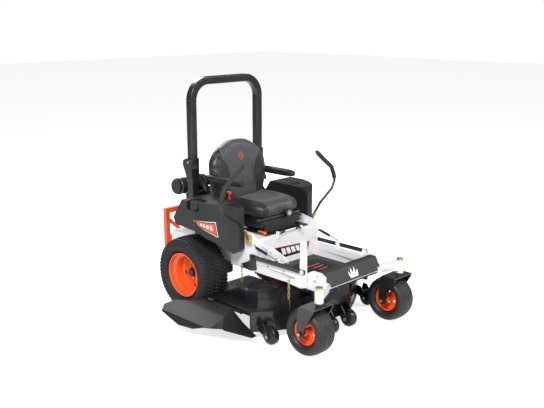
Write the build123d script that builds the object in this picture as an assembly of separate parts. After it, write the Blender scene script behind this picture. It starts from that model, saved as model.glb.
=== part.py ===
from build123d import *
import math
import os

# Zero turn mower, in millimetres. While it is modelled, x = 0 is the middle plane, y = 0 the rear axle
# and z = 0 the ground. The front faces -Y and +X is the operator's left. The last lines move everything so
# that the origin is the middle of the footprint.

# Wheels
rear_tyre_r = 292.0
rear_tyre_w = 267.0
rear_rim_r = 172.0
rear_wheel_x = 458.5
front_tyre_r = 168.5
front_tyre_w = 167.0
front_rim_r = 92.0
rear_bulge = 28.5
front_bulge = 25.5
fork_clearance = 14.5
caster_x = 450.0
swivel_y = -1304.0
caster_trail = 74.0
barrel_r = 31.0
barrel_z0 = 384.0
barrel_z1 = 478.0
beam_z0 = 408.0
beam_z1 = 470.0
axle_r = 12.7
hub_shaft_r = 19.0
running_gap = 0.05
body_gap = 2.0

# Frame
rail_in = 290.0
rail_out = 330.0
rail_z0 = 395.0
rail_z1 = 497.0
rail_rear_y = -300.0
rail_front_y = -1228.0
rear_rail_in = 250.0
rear_rail_y = 480.0
tower_front_y = -596.0
tower_top = 650.0
plate = 6.0

# Roll bar
bar_x = 348.0
bar_y = 108.0
bar_w = 60.0
bar_top = 1786.0
bar_bend_r = 150.0
fold_z = 1140.0
pin_r = 8.0

# Seat
seat_z = 762.0
seat_front_y = -525.0
tilt_y = -606.0
tilt_z = 664.0

# Levers
lever_y = -515.0
rod_r = 9.0
grip_r = 15.5

# Cutting deck
deck_top = 215.0
deck_low = 66.0
deck_wall = 5.0
deck_side_x = 600.0
deck_rear_y = -345.0
deck_front_y = -1040.0
spindle_x = 375.0
spindle_y = -570.0
mid_spindle_y = -770.0
blade_length = 410.0
blade_z = 92.0
spindle_r = 12.0
sheave_r = 44.0
chute_hinge_x = -612.0
chute_hinge_z = 196.0
hinge_pin_r = 5.0
roller_r = 63.5
roller_z = 70.0
roller_pin_r = 8.0

# Deck lift
front_bolt_y = -1058.0
rear_bolt_y = -550.0
front_shaft_z = 441.0
front_arm = 148.0
front_crank = 77.0
rear_shaft_z = 450.0
rear_arm = 127.0
shaft_r = 11.0
lift_travel = 60.0
link_gap = 4.0
link_bolt_r = 8.0

# Engine
crank_x = 0.0
crank_y = 200.0
engine_base = 505.0
crank_r = 14.0

# Interfaces
hitch_y = 590.0
hitch_z = 330.0
hitch_r = 9.5
hitch_plate = 8.0

rear_bead = rear_tyre_w / 2 - rear_bulge
front_bead = front_tyre_w / 2 - front_bulge
rear_crank = front_crank * rear_arm / front_arm
front_half_swing = lift_travel / front_arm / 2
rear_half_swing = lift_travel / rear_arm / 2
front_shaft_y = front_bolt_y - front_crank * math.sin(front_half_swing)
rear_shaft_y = rear_bolt_y - rear_crank * math.sin(rear_half_swing)
sides = {"right": -1, "left": 1}
nodes = {}


def box(x0, x1, y0, y1, z0, z1):
    return Pos((x0 + x1) / 2, (y0 + y1) / 2, (z0 + z1) / 2) * Box(abs(x1 - x0), abs(y1 - y0), abs(z1 - z0))


def plan(points, z0, z1):
    """A prism whose outline is given as (x, y) points."""
    return Pos(0, 0, z0) * extrude(make_face(Polyline(*points, close=True)), z1 - z0)


def side(points, x0, x1):
    """A prism whose outline is given as (y, z) points."""
    face = Plane.YZ * make_face(Polyline(*points, close=True))
    return Pos(min(x0, x1), 0, 0) * extrude(face, abs(x1 - x0), dir=(1, 0, 0))


def front(points, y0, y1):
    """A prism whose outline is given as (x, z) points."""
    face = Plane.XZ * make_face(Polyline(*points, close=True))
    return Pos(0, min(y0, y1), 0) * extrude(face, abs(y1 - y0), dir=(0, 1, 0))


def rod(start, end, r):
    """A round bar from start to end."""
    a, b = Vector(*start), Vector(*end)
    plane = Plane(origin=a, z_dir=b - a)
    return plane * Cylinder(r, (b - a).length, align=(Align.CENTER, Align.CENTER, Align.MIN))


def mirrored(part, sign):
    """The part as drawn for the operator's left, or its mirror image on the right."""
    return part if sign > 0 else mirror(part, about=Plane.YZ)


def both_sides(part):
    return [part, mirror(part, about=Plane.YZ)]


def fuse(first, *rest):
    for other in rest:
        first = first + other
    return first


def cut(first, *rest):
    for other in rest:
        first = first - other
    return first


def turned(points, centre_y, centre_z, centre_x):
    """A body of revolution about the X direction; points are (distance along the axle, radius)."""
    face = make_face(Polyline(*points, close=True))
    return Pos(centre_x, centre_y, centre_z) * revolve(face, Axis.X, 360)


def tyre(r, width, rim_r, wall, bead):
    """A hollow tyre on the X axis, with a crowned tread and bulging sides."""
    crown = 0.025 * r
    tread = 0.40 * width
    bulge_r = (r + rim_r) / 2
    outer = [ThreePointArc((-bead, rim_r), (-width / 2, bulge_r), (-tread, r - crown)),
             ThreePointArc((-tread, r - crown), (0, r), (tread, r - crown)),
             ThreePointArc((tread, r - crown), (width / 2, bulge_r), (bead, rim_r))]
    lip = bead - wall
    low = r - crown - wall
    inner = [Line((bead, rim_r), (lip, rim_r)),
             ThreePointArc((lip, rim_r), (width / 2 - wall, bulge_r), (tread - wall, low)),
             Line((tread - wall, low), (wall - tread, low)),
             ThreePointArc((wall - tread, low), (wall - width / 2, bulge_r), (-lip, rim_r)),
             Line((-lip, rim_r), (-bead, rim_r))]
    return revolve(make_face(Curve() + outer + inner), Axis.X, 360)


# ---------------------------------------------------------------- frame

def frame_rail():
    """A box rail whose front end rises in a hump and comes down to the axle beam."""
    outline = [(rail_rear_y, rail_z0), (rail_rear_y, rail_z1), (-1075, rail_z1), (-1112, 526), (-1185, 526),
               (rail_front_y, 505), (rail_front_y, 408), (-1150, rail_z0)]
    body = side(outline, rail_in, rail_out)
    for y, z in ((front_shaft_y, front_shaft_z), (rear_shaft_y, rear_shaft_z)):
        body = body - rod((rail_in - 5, y, z), (rail_out + 5, y, z), shaft_r + running_gap)
    return body


for name, sign in sides.items():
    nodes[name + "_frame_rail"] = mirrored(frame_rail(), sign)


def front_axle_beam():
    """The cross beam between the rails, swept arms and the two barrels that the casters turn in."""
    arm_plan = [(rail_in + 7, rail_front_y), (rail_out, rail_front_y), (caster_x + 12, swivel_y + 24),
                (caster_x - 18, swivel_y - 24), (rail_in + 7, rail_front_y - 34)]
    beam = box(-rail_in, rail_in, rail_front_y + 4, rail_front_y + 64, beam_z0, beam_z1)
    arm = fuse(plan(arm_plan, beam_z0, beam_z1),
               rod((caster_x, swivel_y, barrel_z0), (caster_x, swivel_y, barrel_z1), barrel_r))
    bore = rod((caster_x, swivel_y, barrel_z0 - 5), (caster_x, swivel_y, barrel_z1 + 5), axle_r + running_gap)
    return [beam, *both_sides(arm - bore)]


nodes["front_axle_beam"] = front_axle_beam()


def engine_frame():
    """Two rear rails, the engine plate and the cross tubes, welded."""
    rails = both_sides(box(rear_rail_in, rail_in, -420, rear_rail_y, rail_z0, rail_z1))
    deck = box(-rail_in, rail_in, -60, rear_rail_y, rail_z1, engine_base)
    crank_hole = rod((crank_x, crank_y, rail_z1 - 5), (crank_x, crank_y, engine_base + 5), 60)
    cross = box(-rear_rail_in, rear_rail_in, rear_rail_y - 50, rear_rail_y, rail_z0, rail_z1)
    bridge = box(-rear_rail_in, rear_rail_in, -420, -380, rail_z0, rail_z1)
    return fuse(rails[0], rails[1], deck - crank_hole, cross, bridge)


nodes["engine_frame"] = engine_frame()


def seat_tower():
    """The folded steel box under the seat: side plates, a leaning front panel and a top plate."""
    cheek = side([(rail_rear_y, rail_z1), (rail_rear_y, 690), (-430, 700), (-560, 676), (tower_front_y, 640),
                  (tower_front_y, rail_z1)], rail_out - plate, rail_out)
    cheeks = [part - rod((rail_in, -470, 560), (rail_out + 5, -470, 560), 10) for part in both_sides(cheek)]
    inside = rail_out - plate
    panel = box(-inside, inside, tower_front_y, tower_front_y + plate, rail_z1, tower_top)
    lower = box(-rail_in, rail_in, tower_front_y, tower_front_y + plate, rail_z0 + 8, rail_z1)
    top = box(-inside, inside, tower_front_y + plate, rail_rear_y, tower_top - plate, tower_top)
    return fuse(cheeks[0], cheeks[1], panel, lower, top)


nodes["seat_tower"] = seat_tower()

floor_top = rail_z0 + 8.0
nodes["foot_platform"] = fuse(
    box(-rail_in, rail_in, rail_front_y, tower_front_y + plate, floor_top - plate, floor_top),
    *both_sides(box(150, 170, rail_front_y, tower_front_y, floor_top - 26, floor_top - plate)))
mat_blank = box(-200, 200, -1000, -690, floor_top, floor_top + 7)
nodes["foot_mat"] = fillet(mat_blank.edges().filter_by(Axis.Z), 22)


def toe_panel():
    """The sloping plate in front of the feet, with notched lower corners."""
    top = [(-1204, 522), (-1200, 524), (-1247, 430), (-1251, 428)]
    back = side(top, -294, 294)
    flange = side([(-1204, 522), (-1200, 524), (-1150, 524), (-1150, 520), (-1199, 520)], -288, 288)
    notch = both_sides(box(262, 300, -1300, -1225, 420, 452))
    beside_rail = both_sides(box(rail_in - 0.5, 300, rail_front_y - 1, -1140, 380, 540))
    return cut(back + flange, *notch, *beside_rail)


nodes["toe_panel"] = toe_panel()


def height_scale():
    """The cutting height quadrant beside the right rail, with its stop pin."""
    arc = side([(-602, 616), (-602, 590), (-700, 560), (-862, 520), (-862, 545), (-790, 575), (-700, 605)],
               -rail_in + 2, -rail_in + 7)
    foot = box(-rail_in, -rail_in + 7, -760, -660, rail_z1 - 40, 572)
    pin = rod((-rail_in - 20, -700, 583), (-rail_in + 2, -700, 583), 11)
    return [arc + foot, pin]


nodes["height_scale"] = height_scale()


def fasteners():
    """Zinc plated bolts, washers and caster caps, each seated on what it holds."""
    found = []
    cap = Pos(0, swivel_y, barrel_z1) * Cylinder(25, 16, align=(Align.CENTER, Align.CENTER, Align.MIN))
    for sign in (-1, 1):
        found.append(Pos(sign * caster_x, 0, 0) * cap)
        for y, z in ((-330, 650), (-330, 560), (-420, 610), (-450, 650), (-568, 600)):
            found.append(rod((sign * rail_out, y, z), (sign * (rail_out + 7), y, z), 9))
        for y in (-700, -860):
            found.append(rod((sign * rail_out, y, 470), (sign * (rail_out + 5), y, 470), 8))
    return found


nodes["frame_fasteners"] = fasteners()


# ---------------------------------------------------------------- tanks, roll bar and guard

tank_plan = [(345, 60), (590, 60), (590, -190), (560, -285), (505, -375), (398, -468), (345, -468)]
tank_side = [(-46, 905), (62, 750), (34, 699), (-193, 685), (-353, 608), (-440, 530), (-470, 560),
             (-470, 872), (-400, 905)]
tank_wall = 5.0


def tank_solid(inset):
    outline = Plane.XY * offset(make_face(Polyline(*tank_plan, close=True)), -inset, kind=Kind.INTERSECTION)
    profile = offset(make_face(Polyline(*tank_side, close=True)), -inset, kind=Kind.INTERSECTION)
    upright = Pos(0, 0, 400) * extrude(outline, 700)
    lying = extrude(Plane.YZ * profile, 700, dir=(1, 0, 0))
    return upright & lying


cap_y = -165.0
cap_x = 545.0
neck_r = 34.0
well_floor = 842.0
cup_x = 430.0
cup_y = -250.0
cup_r = 42.0
cup_floor = 835.0


def fuel_tank(sign):
    """A moulded fender tank, hollow, with a filler well (right) or a cup holder (left)."""
    body = tank_solid(0)
    cavity = tank_solid(tank_wall)
    if sign < 0:
        well = box(cap_x - 62, cap_x + 62, cap_y - 62, cap_y + 62, well_floor, 920)
        well_block = box(cap_x - 70, cap_x + 70, cap_y - 70, cap_y + 70, well_floor - 8, 920)
        neck = rod((cap_x, cap_y, well_floor - 3), (cap_x, cap_y, well_floor + 20), neck_r)
        bore = rod((cap_x, cap_y, well_floor - 20), (cap_x, cap_y, well_floor + 40), neck_r - 6)
        return mirrored(((body - well) - (cavity - well_block)) + neck - bore, sign)
    cup = rod((cup_x, cup_y, cup_floor), (cup_x, cup_y, cup_floor + 90), cup_r)
    cup_block = rod((cup_x, cup_y, cup_floor - 8), (cup_x, cup_y, cup_floor + 92), cup_r + 8)
    return (body - cup) - (cavity - cup_block)


nodes["right_fuel_tank"] = fuel_tank(-1)
nodes["left_fuel_tank"] = fuel_tank(1)


def fuel_cap():
    """A ribbed screw cap with a skirt around the filler neck."""
    low = well_floor + 6
    skirt = Cylinder(46, 52, align=(Align.CENTER, Align.CENTER, Align.MIN))
    hollow = Cylinder(neck_r + 1, 16, align=(Align.CENTER, Align.CENTER, Align.MIN))
    grip = box(-5, 5, -50, 50, 24, 52)
    return Pos(-cap_x, cap_y, low) * (fuse(skirt, grip) - hollow)


nodes["right_fuel_cap"] = fuel_cap()


half = bar_w / 2
hoop_low = fold_z - 24.0


def rops_hoop():
    """The folding hoop: one bent square tube with a pivot hole near each end."""
    path = FilletPolyline((bar_x, 0, hoop_low), (bar_x, 0, bar_top - half), (-bar_x, 0, bar_top - half),
                          (-bar_x, 0, hoop_low), radius=bar_bend_r)
    section = Plane(origin=(bar_x, 0, hoop_low), z_dir=(0, 0, 1)) * RectangleRounded(bar_w, bar_w, 8)
    core = Plane(origin=(bar_x, 0, hoop_low), z_dir=(0, 0, 1)) * RectangleRounded(bar_w - 10, bar_w - 10, 4)
    tube = sweep(section, path) - sweep(core, path)
    for sign in (-1, 1):
        x = sign * bar_x
        tube = tube - rod((x - 50, 0, fold_z), (x + 50, 0, fold_z), pin_r + running_gap)
        tube = tube - rod((x - 50, 0, 1600), (x + 50, 0, 1600), 9)
    return Pos(0, bar_y, 0) * tube


nodes["rops_hoop"] = rops_hoop()

ear_t = 8.0
leg_top = fold_z - 70.0
leg_low = 602.0


def rops_uprights():
    """Lower legs with clevis ears, pivot pins, feet and forward braces."""
    found = []
    for sign in (-1, 1):
        leg = box(bar_x - half, bar_x + half, bar_y - half, bar_y + half, leg_low, leg_top)
        foot = box(bar_x - 3 * half, bar_x - half, bar_y - half, bar_y + half, engine_base, leg_low + 90)
        ears = []
        for x in (bar_x - half - 1 - ear_t, bar_x + half + 1):
            outline = [(bar_y - half, leg_top - 60), (bar_y + half, leg_top - 60),
                       (bar_y + half + 46, fold_z - 30), (bar_y + half + 42, fold_z + 8),
                       (bar_y + half, fold_z + 26), (bar_y - half, fold_z + 26)]
            ears.append(side(outline, x, x + ear_t))
        filler = box(bar_x - half - 1, bar_x + half + 1, bar_y - half, bar_y + half, leg_top - 60, leg_top)
        pin = rod((bar_x - half - 14, bar_y, fold_z), (bar_x + half + 14, bar_y, fold_z), pin_r)
        brace = side([(bar_y - half, 1020), (bar_y - half, 975), (-20, 915), (-20, 950), (20, 1000)],
                     bar_x - half, bar_x - half + 8)
        found.append(mirrored(fuse(leg, foot, filler, ears[0], ears[1], pin, brace), sign))
    return found


nodes["rops_uprights"] = rops_uprights()


def rear_guard():
    """The tubular and plate guard behind the engine, with the hitch tongue."""
    y0, y1 = 520.0, 560.0
    parts = []
    for sign in (-1, 1):
        parts.append(box(sign * 308, sign * 270, y0, y1, 354, 660))
        parts.append(box(sign * 270, sign * 250, rear_rail_y, y1, rail_z0, rail_z0 + 60))
        brace = [(sign * 270, 560), (sign * 270, 600), (sign * 113, 460), (sign * 113, 420)]
        parts.append(front(brace, y0 + 12, y1 - 12))
    top = box(-308, 308, y0, y1, 640, 680)
    low = box(-270, 270, y0, y1, 400, 440)
    tongue = box(-45, 45, y1 - 20, hitch_y + 28, hitch_z, hitch_z + hitch_plate)
    riser = box(-45, 45, y1 - 28, y1 - 20, hitch_z, 400)
    hole = rod((0, hitch_y, hitch_z - 5), (0, hitch_y, hitch_z + 20), hitch_r)
    return cut(fuse(top, low, *parts, riser, tongue), hole)


nodes["rear_guard"] = rear_guard()


# ---------------------------------------------------------------- engine and drive

block_top = 640.0
shroud_top = 830.0
shaft_top = 556.0

block = fuse(box(-130, 130, 110, 330, engine_base, block_top),
             *both_sides(box(130, 205, 170, 290, 540, block_top - 8)))
bore = rod((crank_x, crank_y, engine_base - 5), (crank_x, crank_y, shaft_top + 4), crank_r + running_gap)
nodes["engine_block"] = block - bore
shroud = fillet(box(-210, 210, 118, 415, block_top, shroud_top).edges().filter_by(Axis.Z), 60)
nodes["engine_shroud"] = shroud + rod((0, 250, shroud_top), (0, 250, shroud_top + 22), 105)
canister_z = 905.0
canister_r = 66.0
nodes["air_cleaner"] = fuse(
    rod((-335, 330, canister_z), (-60, 330, canister_z), canister_r),
    rod((-350, 330, canister_z), (-335, 330, canister_z), canister_r - 8),
    box(-250, -140, 290, 370, shroud_top, canister_z),
    rod((-60, 330, canister_z), (40, 330, canister_z - 20), 26)) - rod((0, 250, 820), (0, 250, 853), 106)
nodes["muffler"] = fuse(rod((-170, 465, 585), (170, 465, 585), 48),
                        *both_sides(rod((80, 330, 585), (80, 430, 585), 17)))
nodes["crank_pulley"] = fuse(
    rod((crank_x, crank_y, 330), (crank_x, crank_y, shaft_top), crank_r),
    rod((crank_x, crank_y, 330), (crank_x, crank_y, 338), 64),
    rod((crank_x, crank_y, 338), (crank_x, crank_y, 350), 54),
    rod((crank_x, crank_y, 350), (crank_x, crank_y, 358), 64),
    rod((crank_x, crank_y, 366), (crank_x, crank_y, 420), 70))


def transaxle(sign):
    """A hydrostatic drive with its axle horn, hung under the rear rail."""
    case = fillet(box(110, 284, -78, 82, 222, 372).edges().filter_by(Axis.X), 26)
    horn = rod((284, 0, rear_tyre_r), (316, 0, rear_tyre_r), 38)
    mount = box(rear_rail_in + 4, rail_in - 6, -60, 60, 360, rail_z0)
    shaft = rod((200, 0, rear_tyre_r), (320, 0, rear_tyre_r), hub_shaft_r + running_gap)
    return mirrored(fuse(case, horn, mount) - shaft, sign)


nodes["transaxles"] = [transaxle(-1), transaxle(1)]


# ---------------------------------------------------------------- wheels

def rear_rim():
    """A dished pressed wheel with vent holes, its hub and stub shaft, and the hub cap."""
    w = rear_bead
    r = rear_rim_r
    disc = -22.0
    profile = [(-w, r), (w, r), (w, r - 7), (70, r - 9), (60, r - 34), (disc + 12, r - 34),
               (disc + 5, r - 44), (disc + 5, 30), (disc, 30), (disc, r - 42), (disc - 6, r - 15),
               (-w, r - 7)]
    rim = turned(profile, 0, 0, 0)
    for step in range(5):
        vent = side([(128, -9), (128, 9), (102, 22), (102, -22)], disc - 20, disc + 20)
        rim = rim - Rot(step * 72 + 18, 0, 0) * vent
    shaft = rod((205 - rear_wheel_x, 0, 0), (disc, 0, 0), hub_shaft_r)
    hub = shaft + rod((disc - 12, 0, 0), (disc, 0, 0), 68)
    cap = rod((disc, 0, 0), (disc + 44, 0, 0), 29)
    studs = [Rot(step * 72 + 54, 0, 0) * rod((disc + 5, 50, 0), (disc + 20, 50, 0), 9) for step in range(5)]
    return [rim, hub, cap] + studs


def front_rim():
    """A small pressed wheel on a bushed hub."""
    w = front_bead
    hub = w + 8
    r = front_rim_r
    profile = [(-w, r), (w, r), (w, r - 6), (40, r - 8), (30, r - 22), (8, r - 26), (8, 24), (hub, 24),
               (hub, axle_r + running_gap), (-hub, axle_r + running_gap), (-hub, 24), (2, 24), (2, r - 26),
               (-20, r - 8), (-w, r - 6)]
    rim = turned(profile, 0, 0, 0)
    for step in range(5):
        vent = rod((0, 46, 0), (14, 46, 0), 8)
        rim = rim - Rot(step * 72, 0, 0) * vent
    return rim


fork_z = 354.0


def fork():
    """A bent steel fork with its swivel spindle and axle bolt."""
    gap = front_tyre_w / 2 + fork_clearance
    t = 8.0
    y = swivel_y
    wheel_y = swivel_y + caster_trail
    top = box(-gap - t, gap + t, y - 40, y + 84, fork_z, fork_z + t)
    leg = side([(y - 40, fork_z + t), (y + 84, fork_z + t), (y + 100, 330), (wheel_y + 30, 200),
                (wheel_y + 28, 145), (wheel_y - 2, 138), (wheel_y - 30, 150), (y + 34, 220), (y - 34, 335)],
               gap, gap + t)
    axle = rod((-gap - t - 10, wheel_y, front_tyre_r), (gap + t + 10, wheel_y, front_tyre_r), axle_r)
    heads = both_sides(rod((gap + t, wheel_y, front_tyre_r), (gap + t + 9, wheel_y, front_tyre_r), 17))
    collar = rod((0, y, fork_z + t), (0, y, barrel_z0 - body_gap), 22)
    spindle = rod((0, y, fork_z + t), (0, y, barrel_z1 - body_gap), axle_r)
    return fuse(top, *both_sides(leg), axle, *heads, collar, spindle)


for name, sign in sides.items():
    turn = Rot(0, 0, 0) if sign > 0 else Rot(0, 180, 0)
    place = Pos(sign * rear_wheel_x, 0, rear_tyre_r) * turn
    nodes[name + "_rear_rim"] = [place * solid for solid in rear_rim()]
    nodes[name + "_rear_tyre"] = place * tyre(rear_tyre_r, rear_tyre_w, rear_rim_r, 12, rear_bead)
    place = Pos(sign * caster_x, swivel_y + caster_trail, front_tyre_r) * turn
    nodes[name + "_front_rim"] = place * front_rim()
    nodes[name + "_front_tyre"] = place * tyre(front_tyre_r, front_tyre_w, front_rim_r, 9, front_bead)
    nodes[name + "_fork"] = Pos(sign * caster_x, 0, 0) * fork()


# ---------------------------------------------------------------- seat

knuckle_r = 11.0
seat_pin_r = 6.0
base_z = tower_top + 4
pedestal_top = 685.0
cover_x = 205.0
cover_wall = 6.0
tilt_lugs = both_sides(box(125, 135, tilt_y - 10, tower_front_y + plate, 618, tilt_z + 10))
tilt_pin = rod((-135, tilt_y, tilt_z), (135, tilt_y, tilt_z), seat_pin_r)
nodes["seat_tower"] = fuse(nodes["seat_tower"], *tilt_lugs, tilt_pin)


def seat_base():
    """The plate that tips forward with the seat, its hinge knuckles, pedestal and latch."""
    base = fuse(box(-230, 230, -582, -320, base_z, base_z + plate),
                box(-170, 170, -500, -280, base_z + plate, pedestal_top))
    for sign in (-1, 1):
        knuckle = rod((sign * 60, tilt_y, tilt_z), (sign * 110, tilt_y, tilt_z), knuckle_r)
        tab = box(sign * 60, sign * 110, tilt_y, -570, base_z, base_z + plate)
        base = base + knuckle + tab
    base = base - rod((-140, tilt_y, tilt_z), (140, tilt_y, tilt_z), seat_pin_r + running_gap)
    latch = box(-232, -cover_x - body_gap, -560, -490, base_z + plate, base_z + plate + 14)
    return [base, latch]


nodes["seat_base"] = seat_base()

shroud_z1 = 742.0
cover_front = -532.0
cover_rear = -240.0
cover_solid = box(-cover_x, cover_x, cover_front, cover_rear, pedestal_top + 6, shroud_z1)
cover_in = cover_x - cover_wall
cover_hollow = box(-cover_in, cover_in, cover_front + cover_wall, cover_rear - cover_wall, pedestal_top,
                   shroud_z1 - cover_wall + 1)
nodes["seat_suspension"] = fillet(cover_solid.edges().filter_by(Axis.Z), 30) - cover_hollow
pan_top = seat_z + 2


def seat_pan():
    """The steel pan under the cushion, with the brackets that carry the back."""
    pan = fillet(box(-236, 236, -508, -40, shroud_z1 + 1, pan_top).edges().filter_by(Axis.Z), 40)
    bracket = side([(-150, shroud_z1 + 1), (-20, shroud_z1 + 1), (8, 880), (-30, 900), (-110, 840)], 247, 253)
    rail = box(230, 253, -140, -80, shroud_z1 + 1, pan_top)
    return fuse(pan, *both_sides(bracket), *both_sides(rail))


nodes["seat_pan"] = seat_pan()
knob_x = 40.0
knob_z = 782.0


def seat_cushion():
    outline = [(-190, seat_front_y), (190, seat_front_y), (232, -490), (244, -400), (244, -90), (-244, -90),
               (-244, -400), (-232, -490)]
    profile = [(seat_front_y, pan_top + 8), (seat_front_y + 14, pan_top + 1), (-90, pan_top + 1), (-90, 856),
               (-380, 848), (-490, 866), (seat_front_y + 8, 856), (seat_front_y, 840)]
    cushion = plan(outline, 700, 900) & side(profile, -260, 260)
    return cushion - rod((knob_x, seat_front_y - 10, knob_z), (knob_x, seat_front_y + 60, knob_z), 9)


nodes["seat_cushion"] = seat_cushion()
arm_y = 5.0
arm_z = 1018.0
arm_pin_r = 8.0


def seat_back():
    half_outline = [(0, 1308), (90, 1300), (170, 1262), (222, 1200), (250, 1120), (264, 1040), (262, 960),
                    (243, 905), (236, 800), (0, 800)]
    outline = half_outline + [(-x, z) for x, z in reversed(half_outline[1:-1])]
    profile = [(-86, 800), (-88, 880), (-66, 1010), (-50, 1164), (-44, 1250), (-22, 1308), (24, 1308),
               (44, 1240), (48, 1100), (34, 960), (4, 800)]
    back = front(outline, -120, 80) & side(profile, -280, 280)
    return back + rod((-292, arm_y, arm_z), (292, arm_y, arm_z), arm_pin_r)


nodes["seat_back"] = seat_back()


def armrest():
    outline = [(268, 36), (312, 36), (312, -300), (298, -385), (262, -388), (246, -340), (248, -150),
               (268, -100)]
    profile = [(36, 1000), (36, 1040), (20, 1053), (-370, 1056), (-388, 1040), (-380, 1012), (-200, 996),
               (20, 988)]
    pad = plan(outline, 900, 1100) & side(profile, 240, 320)
    return pad - rod((260, arm_y, arm_z), (294, arm_y, arm_z), arm_pin_r + running_gap)


for name, sign in sides.items():
    nodes[name + "_armrest"] = mirrored(armrest(), sign)

knob_back = seat_front_y - 4
nodes["suspension_knob"] = fuse(rod((knob_x, knob_back - 33, knob_z), (knob_x, knob_back, knob_z), 33),
                                rod((knob_x, knob_back, knob_z), (knob_x, knob_back + 54, knob_z), 7))


# ---------------------------------------------------------------- drive levers and switches

swing_z = 625.0
swing_r = 10.0
clevis_x = 344.0
clevis_z = 658.0
tang_w = 13.0
lever_bend_r = 26.0
clevis_pin_r = 6.0


def lever_pivot():
    """A pivot block on a stub shaft through the tower side, with a clevis for the lever."""
    stub = rod((rail_out - plate - 8, lever_y, swing_z), (rail_out + 4, lever_y, swing_z), swing_r)
    block = box(rail_out + 4, 356, lever_y - 22, lever_y + 22, swing_z - 18, swing_z + 14)
    ears = [box(rail_out + 4, 356, lever_y + low, lever_y + high, swing_z + 14, clevis_z + 13)
            for low, high in ((-22, -tang_w - 1), (tang_w + 1, 22))]
    pin = rod((clevis_x, lever_y - 22, clevis_z), (clevis_x, lever_y + 22, clevis_z), clevis_pin_r)
    return fuse(stub, block, *ears, pin)


def bent_bar(points, r):
    """A round bar through (x, z) points in the plane of the levers."""
    path = FilletPolyline(*[(x, lever_y, z) for x, z in points], radius=lever_bend_r)
    return sweep(Plane(origin=path @ 0, z_dir=path % 0) * Circle(r), path)


def lever():
    """A bent control rod on a flat tang, and its foam grip."""
    tang = fuse(rod((clevis_x, lever_y - tang_w, clevis_z), (clevis_x, lever_y + tang_w, clevis_z), 12),
                front([(338, 664), (352, 654), (398, 716), (382, 730)], lever_y - tang_w, lever_y + tang_w))
    tang = tang - rod((clevis_x, lever_y - 20, clevis_z), (clevis_x, lever_y + 20, clevis_z),
                      clevis_pin_r + running_gap)
    points = [(384, 716), (440, 780), (520, 836), (585, 880), (616, 940), (608, 985), (576, 1058),
              (478, 1132), (390, 1206)]
    stick = bent_bar(points, rod_r)
    grip = bent_bar([(616, 958)] + points[5:], grip_r)
    return [tang + (stick - grip), grip]


for name, sign in sides.items():
    nodes[name + "_lever_pivot"] = mirrored(lever_pivot(), sign)
    nodes[name + "_lever"] = [mirrored(solid, sign) for solid in lever()]
for sign in (-1, 1):
    hole = rod((sign * 300, lever_y, swing_z), (sign * 340, lever_y, swing_z), swing_r + running_gap)
    nodes["seat_tower"] = nodes["seat_tower"] - hole

switch_x = -366.0
tank_top = 905.0
nodes["pto_knob"] = fuse(rod((switch_x, -260, 880), (switch_x, -260, 922), 7),
                         rod((switch_x, -260, 922), (switch_x, -260, 940), 17))
hole = rod((switch_x, -260, 872), (switch_x, -260, 930), 7 + running_gap)
nodes["right_fuel_tank"] = nodes["right_fuel_tank"] - hole
throttle_y = -330.0
throttle_z = tank_top + 12
throttle_boss = rod((switch_x - 6, throttle_y, throttle_z), (switch_x + 6, throttle_y, throttle_z), 9)
nodes["throttle_lever"] = fuse(rod((switch_x, throttle_y, throttle_z), (switch_x, throttle_y, 962), 4),
                               throttle_boss,
                               rod((switch_x, throttle_y - 14, 966), (switch_x, throttle_y + 14, 966), 11))


# ---------------------------------------------------------------- cutting deck

deck_plan = [(-deck_side_x, deck_rear_y), (-deck_side_x, -800), (-470, -890), (-200, deck_front_y),
             (200, deck_front_y), (470, -890), (deck_side_x, -800), (deck_side_x, deck_rear_y)]
spindles = {"right": (-spindle_x, spindle_y), "centre": (0, mid_spindle_y), "left": (spindle_x, spindle_y)}
rollers = {"right_outer": (-541, -944), "left_outer": (541, -944), "right_inner": (-100, -1116),
           "left_inner": (100, -1116)}
roller_half = 34.0
chain_x = 348.0
lug_top = 276.0
front_chain_y = front_shaft_y + front_arm * math.cos(front_half_swing)
rear_chain_y = rear_shaft_y + rear_arm * math.cos(rear_half_swing)
hinge_lugs = [(-412, -402), (-720, -710)]


def deck_shell():
    """The welded cutting deck: top, skirt, spindle housings, roller brackets and hinge lugs."""
    inner = offset(make_face(Polyline(*deck_plan, close=True)), -deck_wall, kind=Kind.INTERSECTION)
    room = extrude(Pos(0, 0, deck_low - deck_wall) * inner, deck_top - deck_low)
    shell = plan(deck_plan, deck_low, deck_top) - room
    shell = shell - box(-deck_side_x - 10, -deck_side_x + 10, -790, -420, deck_low - 5, 186)
    for x, y in spindles.values():
        shell = shell + rod((x, y, 150), (x, y, deck_top + 20), 46)
        shell = shell - rod((x, y, 140), (x, y, deck_top + 30), spindle_r + running_gap)
    pin_half = roller_half + 12
    for x, y in rollers.values():
        for at in (x - roller_half - 8, x + roller_half + 2):
            ear = [(y + 78, 160), (y + 40, 160), (y - 16, 84), (y - 16, 56), (y + 8, 54), (y + 92, 96)]
            shell = shell + side(ear, at, at + 6)
        shell = shell + rod((x - pin_half, y, roller_z), (x + pin_half, y, roller_z), roller_pin_r)
    for sign in (-1, 1):
        for y in (front_chain_y, rear_chain_y):
            x = sign * chain_x
            shell = shell + box(x - 7, x + 7, y - 9, y + 9, deck_top - 4, lug_top)
    z = chute_hinge_z
    for low, high in hinge_lugs:
        shell = shell + box(chute_hinge_x - 9, -deck_side_x, low, high, z - 10, z + 10)
    pin = rod((chute_hinge_x, hinge_lugs[1][0], z), (chute_hinge_x, hinge_lugs[0][1], z), hinge_pin_r)
    return shell + pin


nodes["deck_shell"] = deck_shell()


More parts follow.
